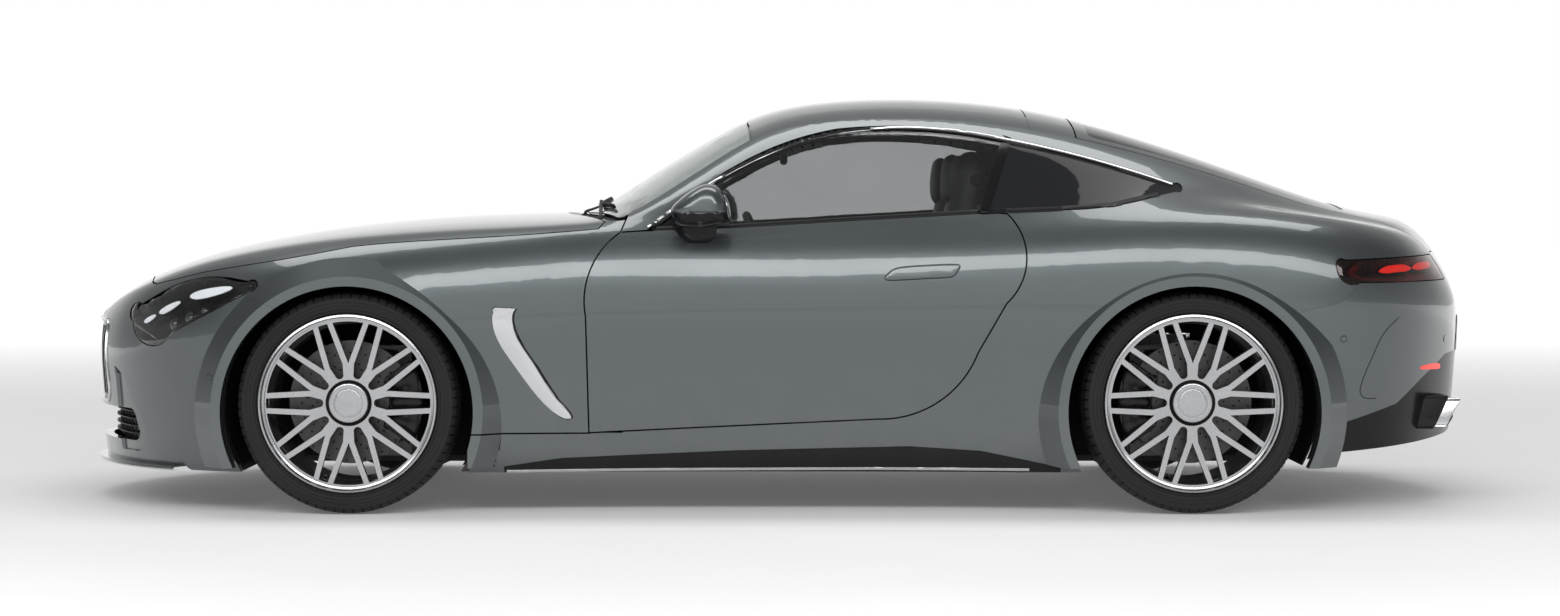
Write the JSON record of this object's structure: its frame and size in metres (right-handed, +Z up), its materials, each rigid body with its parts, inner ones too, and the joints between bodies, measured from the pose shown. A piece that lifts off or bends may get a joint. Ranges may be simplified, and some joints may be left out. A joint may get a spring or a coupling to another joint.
{
  "type": "two-door fastback coupe car",
  "caption": "Low front-engined two-door fastback coupe with long hood, opening doors, hood and tailgate, steered front wheels and ten-spoke alloy wheels.",
  "frame": {"origin": "on the floor below the middle of the bounding box", "axes": "+Z up, the nose points toward -X, the left side of the car is at -Y"},
  "size_m": [4.6785, 2.092, 1.3535],
  "materials": {
    "body_paint": "metallic gloss",
    "glass": "clear",
    "dark_glass": "dark tint",
    "black_trim": "gloss",
    "black_plastic": "grained",
    "chrome": "polished",
    "wheel_silver": "satin paint",
    "tyre": "matte",
    "brake_iron": "machined",
    "chassis": "cast",
    "underbody": "matte",
    "engine": "cast",
    "leather": "soft",
    "lamp_front": "clear over dark",
    "lamp_rear": "clear over red",
    "dash": "soft grain"
  },
  "bodies": {
    "body": {"cowl_panel": "black_plastic", "dashboard": "dash", "diffuser": "black_trim", "engine": "engine", "exhaust": "chrome", "fender_vents": "chrome", "floor_pan": "underbody", "front_bumper": "body_paint", "front_fenders": "body_paint", "front_seats": "leather", "front_subframe": "chassis", "grille": "black_trim", "headlamps": "lamp_front", "quarter_windows": "dark_glass", "rear_bumper": "body_paint", "rear_hub_carriers": "chassis", "rear_seats": "leather", "rear_subframe": "chassis", "roof": "body_paint", "side_frame_left": "body_paint", "side_frame_right": "body_paint", "side_skirts": "black_trim", "tail_lamps": "lamp_rear", "wheel_liners": "black_plastic", "window_trims": "chrome", "windscreen": "glass"},
    "door_left": {"door_left": "body_paint", "door_glass_left": "glass", "door_mirror_left": "black_trim"},
    "door_right": {"door_right": "body_paint", "door_glass_right": "glass", "door_mirror_right": "black_trim"},
    "hood": {"hood": "body_paint"},
    "tailgate": {"tailgate": "body_paint", "rear_window": "dark_glass"},
    "steering_wheel": {"steering_wheel": "dash"},
    "knuckle_left": {"front_knuckle_left": "chassis"},
    "knuckle_right": {"front_knuckle_right": "chassis"},
    "wheel_front_left": {"front_tyre_left": "tyre", "front_rim_left": "wheel_silver", "front_brake_disc_left": "brake_iron"},
    "wheel_front_right": {"front_tyre_right": "tyre", "front_rim_right": "wheel_silver", "front_brake_disc_right": "brake_iron"},
    "wheel_rear_left": {"rear_tyre_left": "tyre", "rear_rim_left": "wheel_silver", "rear_brake_disc_left": "brake_iron"},
    "wheel_rear_right": {"rear_tyre_right": "tyre", "rear_rim_right": "wheel_silver", "rear_brake_disc_right": "brake_iron"}
  },
  "joints": [
    {"name": "door_left_hinge", "type": "hinge", "parent": "body", "child": "door_left", "pos_m": [-0.6125, -0.9475, 0.56], "axis": [0, 0, -1], "range_deg": [0, 66]},
    {"name": "door_right_hinge", "type": "hinge", "parent": "body", "child": "door_right", "pos_m": [-0.6125, 0.9475, 0.56], "axis": [0, 0, 1], "range_deg": [0, 66]},
    {"name": "hood_hinge", "type": "hinge", "parent": "body", "child": "hood", "pos_m": [-0.545, 0, 0.955], "axis": [0, 1, 0], "range_deg": [0, 50]},
    {"name": "tailgate_hinge", "type": "hinge", "parent": "body", "child": "tailgate", "pos_m": [0.984, 0, 1.2925], "axis": [0, -1, 0], "range_deg": [0, 68]},
    {"name": "steer_left", "type": "hinge", "parent": "body", "child": "knuckle_left", "pos_m": [-1.375, -0.795, 0.355], "axis": [0, 0, 1], "range_deg": [-30, 30]},
    {"name": "steer_right", "type": "hinge", "parent": "body", "child": "knuckle_right", "pos_m": [-1.375, 0.795, 0.355], "axis": [0, 0, 1], "range_deg": [-30, 30]},
    {"name": "steering_wheel_turn", "type": "hinge", "parent": "body", "child": "steering_wheel", "pos_m": [-0.04, -0.37, 0.8], "axis": [0.9135, 0, 0.4067], "range_deg": [-400, 400]},
    {"name": "spin_front_left", "type": "hinge", "parent": "knuckle_left", "child": "wheel_front_left", "pos_m": [-1.375, -0.829, 0.355], "axis": [0, 1, 0], "continuous": true},
    {"name": "spin_front_right", "type": "hinge", "parent": "knuckle_right", "child": "wheel_front_right", "pos_m": [-1.375, 0.829, 0.355], "axis": [0, 1, 0], "continuous": true},
    {"name": "spin_rear_left", "type": "hinge", "parent": "body", "child": "wheel_rear_left", "pos_m": [1.325, -0.822, 0.355], "axis": [0, 1, 0], "continuous": true},
    {"name": "spin_rear_right", "type": "hinge", "parent": "body", "child": "wheel_rear_right", "pos_m": [1.325, 0.822, 0.355], "axis": [0, 1, 0], "continuous": true}
  ],
  "couplings": [
    {"joint": "steer_right", "follows": "steer_left", "ratio": 1},
    {"joint": "steering_wheel_turn", "follows": "steer_left", "ratio": 13}
  ]
}
